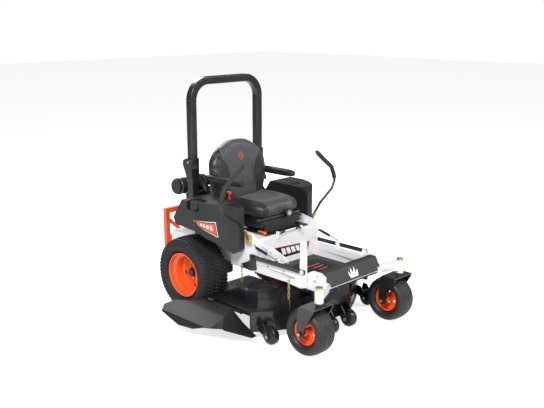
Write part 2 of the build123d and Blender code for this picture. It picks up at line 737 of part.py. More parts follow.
def belt_cover():
    """A pressed cover over one outer spindle."""
    outline = [(-447, -356), (-447, -590), (-385, -650), (-240, -734), (-196, -700), (-196, -356)]
    inner = offset(make_face(Polyline(*outline, close=True)), -3, kind=Kind.INTERSECTION)
    solid = plan(outline, deck_top, 290) - extrude(Pos(0, 0, deck_top - 5) * inner, 292 - deck_top)
    lug = box(-chain_x - 9, -chain_x + 9, rear_chain_y - 11, rear_chain_y + 11, deck_top - 5, 300)
    return solid - lug


nodes["belt_covers"] = [belt_cover(), mirror(belt_cover(), about=Plane.YZ)]

for name, (x, y) in spindles.items():
    bar = box(x - 31, x + 31, y - blade_length / 2, y + blade_length / 2, blade_z - 3, blade_z + 3)
    spindle = fuse(rod((x, y, blade_z + 3), (x, y, 266), spindle_r),
                   rod((x, y, 243), (x, y, 247), sheave_r + 8), rod((x, y, 247), (x, y, 258), sheave_r),
                   rod((x, y, 258), (x, y, 262), sheave_r + 8))
    bolt = rod((x, y, blade_z - 16), (x, y, blade_z - 3), 16)
    nodes[name + "_blade"] = [bar, spindle, bolt]

for name, (x, y) in rollers.items():
    profile = [(-roller_half, roller_pin_r + running_gap), (roller_half, roller_pin_r + running_gap),
               (roller_half, 44), (roller_half - 14, roller_r), (14 - roller_half, roller_r),
               (-roller_half, 44)]
    nodes[name + "_roller"] = turned(profile, y, roller_z, x)

chains = []
for sign in (-1, 1):
    for y, top in ((front_chain_y, 424), (rear_chain_y, 430)):
        chains.append(rod((sign * chain_x, y, lug_top), (sign * chain_x, y, top), 5))
nodes["lift_chains"] = chains

chute_plan = [(-616, -306), (-680, -300), (-742, -112), (-800, -66), (-850, -100), (-876, -330), (-868, -480),
              (-832, -640), (-800, -740), (-657, -868), (-612, -868), (-616, -740)]
chute_rise = [(-600, 206), (-640, 200), (-720, 178), (-845, 116), (-884, 62), (-884, -200), (-600, -200)]
chute_nose = [(0, -200), (0, 230), (-560, 230), (-640, 190), (-740, 128), (-880, 62), (-880, -200)]


def discharge_chute():
    """The moulded deflector over the side discharge, on a long hinge."""
    under = plan(chute_plan, -150, 300) & front(chute_rise, -900, 0) & side(chute_nose, -900, -500)
    sheet = under - Pos(0, 0, -7) * under
    knuckle = rod((chute_hinge_x, hinge_lugs[1][1] + body_gap, chute_hinge_z),
                  (chute_hinge_x, hinge_lugs[0][0] - body_gap, chute_hinge_z), 10)
    sheet = sheet + knuckle
    for low, high in hinge_lugs:
        sheet = sheet - rod((chute_hinge_x, low - body_gap, chute_hinge_z),
                            (chute_hinge_x, high + body_gap, chute_hinge_z), 18)
    return sheet - rod((chute_hinge_x, -900, chute_hinge_z), (chute_hinge_x, 0, chute_hinge_z),
                       hinge_pin_r + running_gap)


nodes["discharge_chute"] = discharge_chute()


# ---------------------------------------------------------------- deck lift

crank_x0 = rail_out + 4
crank_t = 8.0


def crank(shaft_y, shaft_z, bolt_y, upper, arm, half_swing, post):
    """One outboard lift crank: link bolt at the top, lift arm to the rear, and perhaps the pedal post."""
    bolt_z = shaft_z + upper * math.cos(half_swing)
    arm_y = shaft_y + arm * math.cos(half_swing)
    arm_z = shaft_z - arm * math.sin(half_swing)
    outline = [(bolt_y - 17, bolt_z + 14), (bolt_y + 17, bolt_z + 14), (shaft_y + 50, shaft_z + 24),
               (arm_y + 13, arm_z + 13), (arm_y + 13, arm_z - 13), (shaft_y + 34, shaft_z - 52),
               (shaft_y - 24, shaft_z - 30)]
    body = side(outline, crank_x0, crank_x0 + crank_t)
    if post:
        body = body + side([(bolt_y - 34, shaft_z - 10), (bolt_y + 34, shaft_z - 10), (bolt_y + 28, 736),
                            (bolt_y - 28, 736)], crank_x0, crank_x0 + crank_t)
    head_x = crank_x0 + 2 * crank_t + 3
    bolt = rod((crank_x0 + crank_t, bolt_y, bolt_z), (head_x, bolt_y, bolt_z), link_bolt_r)
    head = rod((head_x, bolt_y, bolt_z), (head_x + 7, bolt_y, bolt_z), 15)
    return fuse(body, bolt, head)


def lift_shaft(shaft_y, shaft_z, bolt_y, upper, arm, half_swing, post):
    left = crank(shaft_y, shaft_z, bolt_y, upper, arm, half_swing, False)
    right = mirror(crank(shaft_y, shaft_z, bolt_y, upper, arm, half_swing, post), about=Plane.YZ)
    shaft = rod((-crank_x0 - crank_t, shaft_y, shaft_z), (crank_x0 + crank_t, shaft_y, shaft_z), shaft_r)
    return fuse(shaft, left, right)


nodes["front_lift_shaft"] = lift_shaft(front_shaft_y, front_shaft_z, front_bolt_y, front_crank, front_arm,
                                       front_half_swing, True)
nodes["rear_lift_shaft"] = lift_shaft(rear_shaft_y, rear_shaft_z, rear_bolt_y, rear_crank, rear_arm,
                                      rear_half_swing, False)
front_bolt_z = front_shaft_z + front_crank * math.cos(front_half_swing)
rear_bolt_z = rear_shaft_z + rear_crank * math.cos(rear_half_swing)


def lift_link():
    """A flat bar with an oversize hole at each end, so that it can follow both cranks."""
    x0 = crank_x0 + crank_t + 1
    bar = side([(front_bolt_y - 22, front_bolt_z - 16), (front_bolt_y - 22, front_bolt_z + 16),
                (rear_bolt_y + 22, rear_bolt_z + 16), (rear_bolt_y + 22, rear_bolt_z - 16)], x0, x0 + crank_t)
    for y, z in ((front_bolt_y, front_bolt_z), (rear_bolt_y, rear_bolt_z)):
        bar = bar - rod((x0 - 2, y, z), (x0 + crank_t + 2, y, z), link_bolt_r + link_gap)
    return bar


nodes["lift_links"] = both_sides(lift_link())


# ---------------------------------------------------------------- export

def solids_of(part):
    found = []
    for item in (part if isinstance(part, list) else [part]):
        found.extend(item.solids())
    return found


everything = Compound(children=[Compound(children=solids_of(part)) for part in nodes.values()])
bounds = everything.bounding_box()
origin = Vector((bounds.min.X + bounds.max.X) / 2, (bounds.min.Y + bounds.max.Y) / 2, bounds.min.Z)

if __name__ == "__main__":
    os.makedirs("parts", exist_ok=True)
    for name, part in nodes.items():
        moved = [Pos(*(-origin)) * solid for solid in solids_of(part)]
        export_step(Compound(children=moved), os.path.join("parts", name + ".step"))
    print("origin", origin, "size", bounds.size, "nodes", len(nodes))
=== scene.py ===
import math

import bmesh
import bpy
from mathutils import Matrix, Vector


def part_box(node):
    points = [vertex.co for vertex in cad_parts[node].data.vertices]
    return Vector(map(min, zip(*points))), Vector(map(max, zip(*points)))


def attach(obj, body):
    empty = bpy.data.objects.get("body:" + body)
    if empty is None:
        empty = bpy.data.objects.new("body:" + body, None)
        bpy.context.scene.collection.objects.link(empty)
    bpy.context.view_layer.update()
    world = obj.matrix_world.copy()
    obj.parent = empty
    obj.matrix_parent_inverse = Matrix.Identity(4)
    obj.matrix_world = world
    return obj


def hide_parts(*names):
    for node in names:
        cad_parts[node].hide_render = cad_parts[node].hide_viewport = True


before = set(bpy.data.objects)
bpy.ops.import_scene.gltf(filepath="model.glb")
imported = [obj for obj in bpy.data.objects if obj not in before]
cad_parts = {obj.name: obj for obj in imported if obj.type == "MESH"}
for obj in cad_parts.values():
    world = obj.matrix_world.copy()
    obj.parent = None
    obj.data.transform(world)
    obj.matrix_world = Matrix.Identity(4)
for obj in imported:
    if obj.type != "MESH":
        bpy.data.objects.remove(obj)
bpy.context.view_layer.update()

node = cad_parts

# Camera, floor and lights: the machine stands on a plain pale studio floor, seen from its front right corner.
right_low, right_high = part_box("right_rear_tyre")
left_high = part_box("left_rear_tyre")[1]
mid_x = (right_low[0] + left_high[0]) / 2
axle_y = (right_low[1] + right_high[1]) / 2
sides = (("right", -1), ("left", 1))
camera_place, camera_aim = (-4144.7, -4549.1, 2264.1), (-10.5, -423.6, 833.9)
lens_length, sensor_width = 51.80, 36
floor_size = 60
floor_glow, floor_glow_seen = 0.06, 0.72
sky_glow, sky_glow_seen = 0.22, 1.0
area_lights = (("key", (-4.5, -3.0, 5.5), 2.0, 520), ("fill", (4.0, -5.0, 4.0), 3.0, 160),
               ("front", (-1.5, -6.5, 2.6), 2.0, 120), ("rim", (1.5, 5.0, 4.5), 3.0, 220))
light_aim = Vector((0, 0, 0.6))


def at(x, y, z):
    """A point given in millimetres from the middle plane, the rear axle and the ground."""
    return Vector((mid_x + x / 1000, axle_y + y / 1000, z / 1000))


def two_strengths(tree, hidden, shown, socket):
    """Gives a glow one strength where the camera sees it and another where it lights other things."""
    ray = tree.nodes.new("ShaderNodeLightPath")
    switch = tree.nodes.new("ShaderNodeMapRange")
    switch.inputs["To Min"].default_value = hidden
    switch.inputs["To Max"].default_value = shown
    tree.links.new(ray.outputs["Is Camera Ray"], switch.inputs["Value"])
    tree.links.new(switch.outputs["Result"], socket)


camera_data = bpy.data.cameras.new("camera")
camera_data.sensor_width = sensor_width
camera_data.lens = lens_length
camera = bpy.data.objects.new("camera", camera_data)
bpy.context.scene.collection.objects.link(camera)
camera.location = at(*camera_place)
look = at(*camera_aim) - camera.location
camera.rotation_euler = look.to_track_quat("-Z", "Y").to_euler()
bpy.context.scene.camera = camera

bpy.ops.mesh.primitive_plane_add(size=floor_size, location=(0, 0, 0))
floor = bpy.context.object
floor.name = "studio_floor"
floor_paint = bpy.data.materials.new("studio_floor")
floor_paint.use_nodes = True
floor_shader = floor_paint.node_tree.nodes["Principled BSDF"]
floor_shader.inputs["Base Color"].default_value = (0.93, 0.93, 0.93, 1)
floor_shader.inputs["Roughness"].default_value = 0.9
floor_shader.inputs["Emission Color"].default_value = (1, 1, 1, 1)
two_strengths(floor_paint.node_tree, floor_glow, floor_glow_seen, floor_shader.inputs["Emission Strength"])
floor.data.materials.append(floor_paint)

for name, place, size, watts in area_lights:
    light_data = bpy.data.lights.new(name, "AREA")
    light_data.size = size
    light_data.energy = watts
    light = bpy.data.objects.new(name, light_data)
    light.location = place
    light.rotation_euler = (light_aim - light.location).to_track_quat("-Z", "Y").to_euler()
    bpy.context.scene.collection.objects.link(light)
world = bpy.data.worlds.new("studio")
world.use_nodes = True
sky = world.node_tree.nodes["Background"]
sky.inputs["Color"].default_value = (1, 1, 1, 1)
two_strengths(world.node_tree, sky_glow, sky_glow_seen, sky.inputs["Strength"])
bpy.context.scene.world = world
bpy.context.scene.view_settings.view_transform = "Standard"


# Every painted, plated or moulded finish below is mixed by the same recipe: tint, mottle, grain and gloss.
coat_rough, gloss_less, gloss_more = 0.12, 0.06, 0.08
mottle_from, mottle_to = 0.3, 0.7
scratch_scale, chip_from, chip_to = 45, 0.72, 0.78
weld_gap, sharp_angle = 0.00005, 32


def noise(nodes, links, place, scale, detail):
    """Cloudy noise at a scale, over the piece's own space."""
    clouds = nodes.new("ShaderNodeTexNoise")
    clouds.inputs["Scale"].default_value = scale
    clouds.inputs["Detail"].default_value = detail
    links.new(place.outputs["Object"], clouds.inputs["Vector"])
    return clouds.outputs["Fac"]


def mixed(tree, mask, first, colour):
    """The colour laid over the first one where the mask is 1."""
    blend = tree.nodes.new("ShaderNodeMixRGB")
    blend.inputs["Color2"].default_value = (*colour, 1)
    tree.links.new(mask, blend.inputs["Fac"])
    tree.links.new(first, blend.inputs["Color1"])
    return blend.outputs["Color"]


def finish(name, colour, rough, metal=0.0, coat=0.0, mottle=0.12, mottle_scale=6.0, grain=0.1,
           grain_scale=350.0, depth=0.0006, wear=0.0, worn=(0.5, 0.5, 0.5)):
    """A material whose tint and gloss drift in clouds, with a fine grain and, if asked, worn patches."""
    made = bpy.data.materials.new(name)
    made.use_nodes = True
    nodes, links = made.node_tree.nodes, made.node_tree.links
    shader = nodes["Principled BSDF"]
    shader.inputs["Metallic"].default_value = metal
    shader.inputs["Coat Weight"].default_value = coat
    shader.inputs["Coat Roughness"].default_value = coat_rough
    place = nodes.new("ShaderNodeTexCoord")
    clouds = noise(nodes, links, place, mottle_scale, 5)
    ramp = nodes.new("ShaderNodeValToRGB")
    dark = [c * (1 - mottle) for c in colour]
    pale = [min(1, c * (1 + mottle)) for c in colour]
    ramp.color_ramp.elements[0].position = mottle_from
    ramp.color_ramp.elements[0].color = (*dark, 1)
    ramp.color_ramp.elements[1].position = mottle_to
    ramp.color_ramp.elements[1].color = (*pale, 1)
    links.new(clouds, ramp.inputs["Fac"])
    tint = ramp.outputs["Color"]
    if wear:
        chips = nodes.new("ShaderNodeValToRGB")
        chips.color_ramp.elements[0].position = chip_from - wear
        chips.color_ramp.elements[1].position = chip_to
        links.new(noise(nodes, links, place, scratch_scale, 8), chips.inputs["Fac"])
        tint = mixed(made.node_tree, chips.outputs["Color"], tint, worn)
    links.new(tint, shader.inputs["Base Color"])
    gloss = nodes.new("ShaderNodeMapRange")
    gloss.inputs["To Min"].default_value = max(0.02, rough - gloss_less)
    gloss.inputs["To Max"].default_value = min(1, rough + gloss_more)
    links.new(clouds, gloss.inputs["Value"])
    links.new(gloss.outputs["Result"], shader.inputs["Roughness"])
    bump = nodes.new("ShaderNodeBump")
    bump.inputs["Strength"].default_value = grain
    bump.inputs["Distance"].default_value = depth
    links.new(noise(nodes, links, place, grain_scale, 3), bump.inputs["Height"])
    links.new(bump.outputs["Normal"], shader.inputs["Normal"])
    return made


def coat_nodes(material, names, edge=0.0015):
    """The finish goes on these frame pieces, whose pressed and sawn edges are eased a little."""
    for name in names:
        piece = node[name]
        piece.data.materials.clear()
        piece.data.materials.append(material)
        if edge:
            weld = piece.modifiers.new("weld", "WELD")
            weld.merge_threshold = weld_gap
            bevel = piece.modifiers.new("eased edges", "BEVEL")
            bevel.width = edge
            bevel.segments = 2
            bevel.limit_method = "ANGLE"
            bevel.angle_limit = math.radians(sharp_angle)
            bevel.harden_normals = True


# The frame is welded steel tube and plate with a thick white powder coat, slightly wavy as such coats are.
white = finish("white powder coat", (0.80, 0.81, 0.83), 0.32, coat=0.35, mottle=0.03, mottle_scale=3,
               grain=0.12, grain_scale=260, depth=0.0004)
coat_nodes(white, ["right_frame_rail", "left_frame_rail", "front_axle_beam", "engine_frame", "seat_tower",
                   "height_scale", "front_lift_shaft"], 0.003)

# Black steel: roll bar, forks, links, floor plate and toe panel, all in a satin black powder coat.
satin_black = finish("satin black powder coat", (0.010, 0.010, 0.011), 0.28, coat=0.3, mottle=0.25, grain=0.2,
                     grain_scale=300, depth=0.0005)
coat_nodes(satin_black, ["rops_hoop", "rops_uprights", "seat_base", "seat_pan", "right_fork", "left_fork",
                         "rear_lift_shaft", "lift_links", "muffler"], 0.0025)
toe_black = finish("toe panel paint", (0.022, 0.022, 0.024), 0.5, mottle=0.12, grain=0.3, grain_scale=420,
                   depth=0.0006)
coat_nodes(toe_black, ["toe_panel"], 0.0012)
floor_black = finish("floor plate paint", (0.014, 0.014, 0.015), 0.5, mottle=0.3, grain=0.5, grain_scale=160,
                     depth=0.001, wear=0.03, worn=(0.09, 0.09, 0.09))
coat_nodes(floor_black, ["foot_platform"], 0.001)

# The cutting deck is heavy pressed plate in a glossier, slightly blue black, dulled by grass and dust.
deck_paint = finish("deck gloss coat", (0.008, 0.0085, 0.011), 0.24, coat=0.4, mottle=0.35, mottle_scale=8,
                    grain=0.12, grain_scale=120, depth=0.0006, wear=0.02, worn=(0.05, 0.05, 0.055))
coat_nodes(deck_paint, ["deck_shell", "belt_covers"], 0.0025)

# Orange enamel on the rear guard and the pressed wheels.
orange = finish("orange enamel", (0.86, 0.105, 0.018), 0.3, coat=0.45, mottle=0.07, mottle_scale=5, grain=0.1,
                grain_scale=220, depth=0.0004)
coat_nodes(orange, ["rear_guard", "right_front_rim", "left_front_rim"], 0.0015)

# Yellow zinc: bolts, lever brackets and lift chain, with the rainbow mottle of chromate plate.
zinc = finish("yellow zinc plate", (0.66, 0.47, 0.20), 0.3, metal=0.9, mottle=0.3, mottle_scale=40,
              grain=0.15, grain_scale=500)
coat_nodes(zinc, ["frame_fasteners", "right_lever_pivot", "left_lever_pivot"], 0.001)

# Moulded plastic: fender tanks, cap and rollers are matt black polyethylene with a fine pebble grain.
moulded = finish("moulded black plastic", (0.013, 0.0135, 0.0145), 0.44, mottle=0.15, mottle_scale=4,
                 grain=0.5, grain_scale=480, depth=0.0008)
coat_nodes(moulded, ["right_fuel_tank", "left_fuel_tank"], 0.012)
coat_nodes(moulded, ["right_fuel_cap", "engine_shroud", "air_cleaner"], 0.004)
glossy_plastic = finish("roller plastic", (0.009, 0.009, 0.0095), 0.25, mottle=0.2, grain=0.1,
                        grain_scale=200)
coat_nodes(glossy_plastic, ["right_outer_roller", "left_outer_roller", "right_inner_roller",
                            "left_inner_roller"], 0.004)

# The discharge chute is a flexible rubber-like moulding, duller than the tanks and scuffed at its edges.
chute_rubber = finish("chute moulding", (0.012, 0.0115, 0.011), 0.40, mottle=0.3, mottle_scale=5, grain=0.35,
                      grain_scale=300, depth=0.0008, wear=0.03, worn=(0.07, 0.065, 0.06))
coat_nodes(chute_rubber, ["discharge_chute"], 0.006)

# Castings and bare steel under the machine: engine block, transaxles, blades and pulley.
cast = finish("cast aluminium", (0.16, 0.16, 0.17), 0.55, metal=0.5, mottle=0.25, grain=0.6, grain_scale=160,
              depth=0.001)
coat_nodes(cast, ["engine_block", "transaxles"], 0.003)
ground_steel = finish("ground steel", (0.38, 0.38, 0.39), 0.35, metal=0.9, mottle=0.2, grain=0.3,
                      grain_scale=240)
coat_nodes(ground_steel, ["right_blade", "centre_blade", "left_blade", "crank_pulley"], 0.001)
red = finish("red knob plastic", (0.62, 0.012, 0.02), 0.3, coat=0.3, mottle=0.08, grain=0.1)
coat_nodes(red, ["pto_knob", "throttle_lever"], 0.002)


def select_none():
    """Leaves edit mode, with nothing selected."""
    if bpy.context.object and bpy.context.object.mode != "OBJECT":
        bpy.ops.object.mode_set(mode="OBJECT")
    bpy.ops.object.select_all(action="DESELECT")


def make_active(piece):
    """Selects this piece alone."""
    select_none()
    piece.select_set(True)
    bpy.context.view_layer.objects.active = piece


def settle(piece, name, material, body):
    """Names a finished piece, puts its place into its mesh, and gives it its finish and body."""
    make_active(piece)
    bpy.ops.object.transform_apply(location=True, rotation=True, scale=True)
    piece.name = name
    piece.data.materials.clear()
    piece.data.materials.append(material)
    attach(piece, body)


def joined(pieces):
    """The pieces as one object, the first of them."""
    make_active(pieces[0])
    for piece in pieces[1:]:
        piece.select_set(True)
    bpy.ops.object.join()
    return bpy.context.object


def turn_outward():
    """Every face of the closed mesh at hand is turned to face outward."""
    bpy.ops.object.mode_set(mode="EDIT")
    bpy.ops.mesh.select_all(action="SELECT")
    bpy.ops.mesh.normals_make_consistent(inside=False)
    bpy.ops.object.mode_set(mode="OBJECT")


def bevelled(piece, width, segments, smooth=True):
    """Rounds every edge of a fresh primitive."""
    bpy.ops.object.mode_set(mode="EDIT")
    bpy.ops.mesh.select_all(action="SELECT")
    bpy.ops.mesh.bevel(offset=width, segments=segments)
    bpy.ops.object.mode_set(mode="OBJECT")
    if smooth:
        bpy.ops.object.shade_smooth_by_angle(angle=math.radians(35))
    return piece


def slab(centre, size, edge, turn=(0, 0, 0)):
    """A block with eased edges, of a size given in metres."""
    select_none()
    bpy.ops.mesh.primitive_cube_add(size=1, location=(0, 0, 0))
    piece = bpy.context.object
    piece.scale = size
    bpy.ops.object.transform_apply(scale=True)
    bevelled(piece, edge, 2)
    piece.rotation_euler = turn
    piece.location = centre
    return piece


axis_turns = {"X": (0, math.pi / 2, 0), "Y": (math.pi / 2, 0, 0), "Z": (0, 0, 0)}


def cylinder(facets, radius, depth, axis, place, edge, segments=2):
    """A round or faceted plug along an axis, with eased edges."""
    select_none()
    bpy.ops.mesh.primitive_cylinder_add(vertices=facets, radius=radius, depth=depth,
                                        rotation=axis_turns[axis], location=place)
    return bevelled(bpy.context.object, edge, segments)


def wire_ring(radius, wire, axis, place):
    """A ring of round wire about an axis."""
    select_none()
    bpy.ops.mesh.primitive_torus_add(major_radius=radius, minor_radius=wire, major_segments=48,
                                     minor_segments=8, rotation=axis_turns[axis], location=place)
    bpy.ops.object.shade_smooth()
    return bpy.context.object


def power(value, exponent):
    """The value raised to a power, with its sign kept."""
    return math.copysign(abs(value) ** exponent, value)


# Drive tyres: black rubber carcasses with seven staggered rows of small turf blocks moulded on the crown.
# The section is a closed loop spun round the axle, and one block is copied round the tread.
rubber = finish("tyre rubber", (0.010, 0.010, 0.0105), 0.70, mottle=0.3, mottle_scale=9, grain=0.35,
                grain_scale=220, depth=0.0008, wear=0.03, worn=(0.055, 0.052, 0.048))
flank_power, crown_power = 0.72, 0.62
bead_share = 0.86
groove_zone, groove_waves = 0.014, 3.5
rim_gap = 0.001
spin_steps = 96


def spun_tyre(centre, radius, width, rim, groove, points):
    """A closed tyre section of so many points, spun about the X axis through centre."""
    select_none()
    bpy.ops.mesh.primitive_circle_add(vertices=points, radius=1, fill_type="NOTHING", location=(0, 0, 0))
    ring = bpy.context.object
    middle, half = (radius + rim) / 2, (radius - rim) / 2
    for i, vertex in enumerate(ring.data.vertices):
        turn = 2 * math.pi * i / points
        across = width / 2 * power(math.cos(turn), flank_power)
        out = middle + half * power(math.sin(turn), crown_power)
        if out < middle:
            across *= bead_share + (1 - bead_share) * (out - rim) / (middle - rim)
        if groove and out > radius - groove_zone:
            out -= groove * max(0, math.cos(across / width * 2 * math.pi * groove_waves)) ** 3
        vertex.co = Vector((centre[0] + across, centre[1], centre[2] + out))
    bpy.ops.object.mode_set(mode="EDIT")
    bpy.ops.mesh.select_all(action="SELECT")
    bpy.ops.mesh.spin(steps=spin_steps, angle=2 * math.pi, center=centre, axis=(1, 0, 0))
    bpy.ops.mesh.select_all(action="SELECT")
    bpy.ops.mesh.remove_doubles(threshold=0.0002)
    bpy.ops.mesh.normals_make_consistent(inside=False)
    bpy.ops.object.mode_set(mode="OBJECT")
    bpy.ops.object.shade_smooth_by_angle(angle=math.radians(50))
    return ring


block_rows = (-0.102, -0.070, -0.035, 0.0, 0.035, 0.070, 0.102)
block_count = 58
block_size, block_edge, block_slant, block_sink = (0.029, 0.019, 0.013), 0.0022, 28, 0.0068
tread_drop, shoulder_drop, shoulder_lean = 0.009, 0.011, 16
for side in ("right", "left"):
    low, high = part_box(side + "_rear_tyre")
    centre = (Vector(low) + Vector(high)) / 2
    radius = (high[2] - low[2]) / 2
    rim_low, rim_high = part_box(side + "_rear_rim")
    rim_radius = (rim_high[2] - rim_low[2]) / 2 - rim_gap
    tyre = spun_tyre(centre, radius - tread_drop, high[0] - low[0], rim_radius, 0, 40)
    blocks = []
    for row, across in enumerate(block_rows):
        select_none()
        bpy.ops.mesh.primitive_cube_add(size=1, location=(0, 0, 0))
        block = bpy.context.object
        block.scale = block_size
        block.rotation_euler = (0, 0, math.radians(block_slant if row % 2 else -block_slant))
        bpy.ops.object.transform_apply(rotation=True, scale=True)
        bevelled(block, block_edge, 1, smooth=False)
        shape = block.data
        edge = abs(across) / block_rows[-1]
        drop = shoulder_drop * edge ** 2.2
        lean = math.copysign(math.radians(shoulder_lean), across) if edge > 0.9 else 0
        tread = bmesh.new()
        for step in range(block_count):
            turn = 2 * math.pi * (step + 0.5 * (row % 2)) / block_count
            tread.from_mesh(shape)
            fresh = list(tread.verts)[-len(shape.vertices):]
            place = (Matrix.Translation(centre) @ Matrix.Rotation(turn, 4, "X")
                     @ Matrix.Translation((across, 0, radius - block_sink - drop))
                     @ Matrix.Rotation(lean, 4, "Y"))
            bmesh.ops.transform(tread, matrix=place, verts=fresh)
        tread.to_mesh(shape)
        tread.free()
        blocks.append(block)
    tyre = joined([tyre] + blocks)
    settle(tyre, side + "_drive_tyre", rubber, side + "_rear_wheel")
    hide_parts(side + "_rear_tyre")

# Caster tyres: smooth rubber with shallow grooves round the crown.
caster_rubber = finish("caster rubber", (0.013, 0.013, 0.0135), 0.5, mottle=0.2, mottle_scale=9, grain=0.3,
                       grain_scale=260, depth=0.0005, wear=0.02, worn=(0.06, 0.06, 0.058))
caster_groove = 0.0035
for side in ("right", "left"):
    low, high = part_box(side + "_front_tyre")
    centre = (Vector(low) + Vector(high)) / 2
    rim_low, rim_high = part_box(side + "_front_rim")
    rim_radius = (rim_high[2] - rim_low[2]) / 2 - rim_gap
    tyre = spun_tyre(centre, (high[2] - low[2]) / 2, high[0] - low[0], rim_radius, caster_groove, 96)
    settle(tyre, side + "_caster_tyre", caster_rubber, side + "_front_wheel")
    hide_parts(side + "_front_tyre")

# Drive wheels: pressed discs in orange enamel, each with a black cap over the axle end and five zinc nuts.
coat_nodes(orange, ["right_rear_rim", "left_rear_rim"], 0.0015)
cap_black = finish("hub cap plastic", (0.02, 0.02, 0.02), 0.35, mottle=0.2, grain=0.2)
cap_radius, cap_depth, cap_shift = 0.0305, 0.050, 0.003
nut_count, nut_turn, nut_circle, nut_radius, nut_depth, nut_shift = 5, 54, 0.050, 0.0105, 0.022, 0.008
for side, sign in sides:
    low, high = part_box(side + "_rear_tyre")
    centre = (Vector(low) + Vector(high)) / 2
    cap = cylinder(40, cap_radius, cap_depth, "X", centre + Vector((sign * cap_shift, 0, 0)), 0.006, 3)
    settle(cap, side + "_hub_cap", cap_black, side + "_rear_wheel")
    for step in range(nut_count):
        turn = math.radians(step * 360 / nut_count + nut_turn)
        place = centre + Vector((-sign * nut_shift, nut_circle * math.cos(turn), nut_circle * math.sin(turn)))
        nut = cylinder(6, nut_radius, nut_depth, "X", place, 0.0015)
        settle(nut, side + "_wheel_nut_" + str(step + 1), zinc, side + "_rear_wheel")

# Seat: foam cushions in vinyl, with black bolsters and a paler grey insert sewn in with a dark seam.
# Each cushion starts as a shaped block, is blown up a little as cloth, and is then smoothed.
grey_vinyl, seam_black = (0.050, 0.055, 0.058), (0.008, 0.008, 0.008)
cloth_frames, cloth_tension, cloth_bending = 20, 20, 4
cushion_swell, back_swell, pad_swell = 0.014, 0.012, 0.005


def math_node(tree, operation, first, second=None):
    """One maths step between two sockets or numbers."""
    step = tree.nodes.new("ShaderNodeMath")
    step.operation = operation
    for i, value in enumerate((first, second)):
        if isinstance(value, (int, float)):
            step.inputs[i].default_value = value
        elif value is not None:
            tree.links.new(value, step.inputs[i])
    return step.outputs["Value"]


def vinyl(name, axis, low, high, outline, seam=0.003):
    """Black vinyl with a grey insert, whose half width follows the outline from low to high along an axis."""
    made = finish(name, (0.011, 0.0115, 0.012), 0.42, mottle=0.14, mottle_scale=8, grain=0.5, grain_scale=420,
                  depth=0.0007)
    tree = made.node_tree
    shader = tree.nodes["Principled BSDF"]
    shader.inputs["Sheen Weight"].default_value = 0.15
    base = shader.inputs["Base Color"].links[0].from_socket
    place = tree.nodes.new("ShaderNodeTexCoord")
    split = tree.nodes.new("ShaderNodeSeparateXYZ")
    tree.links.new(place.outputs["Object"], split.inputs["Vector"])
    along = tree.nodes.new("ShaderNodeMapRange")
    along.inputs["From Min"].default_value = low
    along.inputs["From Max"].default_value = high
    tree.links.new(split.outputs[axis], along.inputs["Value"])
    curve = tree.nodes.new("ShaderNodeFloatCurve")
    points = curve.mapping.curves[0].points
    points[0].location = outline[0]
    points[-1].location = outline[-1]
    for place_along, half_width in outline[1:-1]:
        points.new(place_along, half_width)
    curve.mapping.update()
    tree.links.new(along.outputs["Result"], curve.inputs["Value"])
    away = math_node(tree, "ABSOLUTE", math_node(tree, "SUBTRACT", split.outputs["X"], mid_x))
    gap = math_node(tree, "SUBTRACT", curve.outputs["Value"], away)
    inside = math_node(tree, "GREATER_THAN", gap, 0.0)
    on_seam = math_node(tree, "LESS_THAN", math_node(tree, "ABSOLUTE", gap), seam)
    tint = mixed(tree, on_seam, mixed(tree, inside, base, grey_vinyl), seam_black)
    tree.links.new(tint, shader.inputs["Base Color"])
    return made


def blow_up(piece, cap, voxel=0.006, pressure=4):
    """Remeshes a shaped block and inflates it as cloth for some frames; no point moves more than cap."""
    make_active(piece)
    remesh = piece.modifiers.new("remesh", "REMESH")
    remesh.mode = "VOXEL"
    remesh.voxel_size = voxel
    bpy.ops.object.modifier_apply(modifier="remesh")
    start = [v.co.copy() for v in piece.data.vertices]
    cloth = piece.modifiers.new("cloth", "CLOTH")
    cloth.settings.use_pressure = True
    cloth.settings.uniform_pressure_force = pressure
    cloth.settings.effector_weights.gravity = 0
    cloth.settings.tension_stiffness = cloth_tension
    cloth.settings.bending_stiffness = cloth_bending
    cloth.point_cache.frame_start = 1
    cloth.point_cache.frame_end = cloth_frames
    for frame_number in range(1, cloth_frames + 1):
        bpy.context.scene.frame_set(frame_number)
    blown = piece.evaluated_get(bpy.context.evaluated_depsgraph_get()).data
    moved = [v.co.copy() for v in blown.vertices]
    piece.modifiers.remove(cloth)
    bpy.context.scene.frame_set(1)
    for vertex, old, new in zip(piece.data.vertices, start, moved):
        shift = new - old
        if shift.length > cap:
            shift *= cap / shift.length
        vertex.co = old + shift
    smooth = piece.modifiers.new("smooth", "SMOOTH")
    smooth.iterations = 6
    bpy.ops.object.modifier_apply(modifier="smooth")
    bpy.ops.object.shade_smooth()


def shaped_block(low, high, cuts, form):
    """A subdivided block between two corners, its points moved by form(across, along, up), each -1 to 1."""
    select_none()
    middle, half = (Vector(low) + Vector(high)) / 2, (Vector(high) - Vector(low)) / 2
    bpy.ops.mesh.primitive_cube_add(size=2, location=(0, 0, 0))
    piece = bpy.context.object
    bpy.ops.object.mode_set(mode="EDIT")
    bpy.ops.mesh.select_all(action="SELECT")
    bpy.ops.mesh.subdivide(number_cuts=cuts)
    bpy.ops.object.mode_set(mode="OBJECT")
    for vertex in piece.data.vertices:
        u, v, w = form(*vertex.co)
        vertex.co = middle + Vector((u * half.x, v * half.y, w * half.z))
    return piece


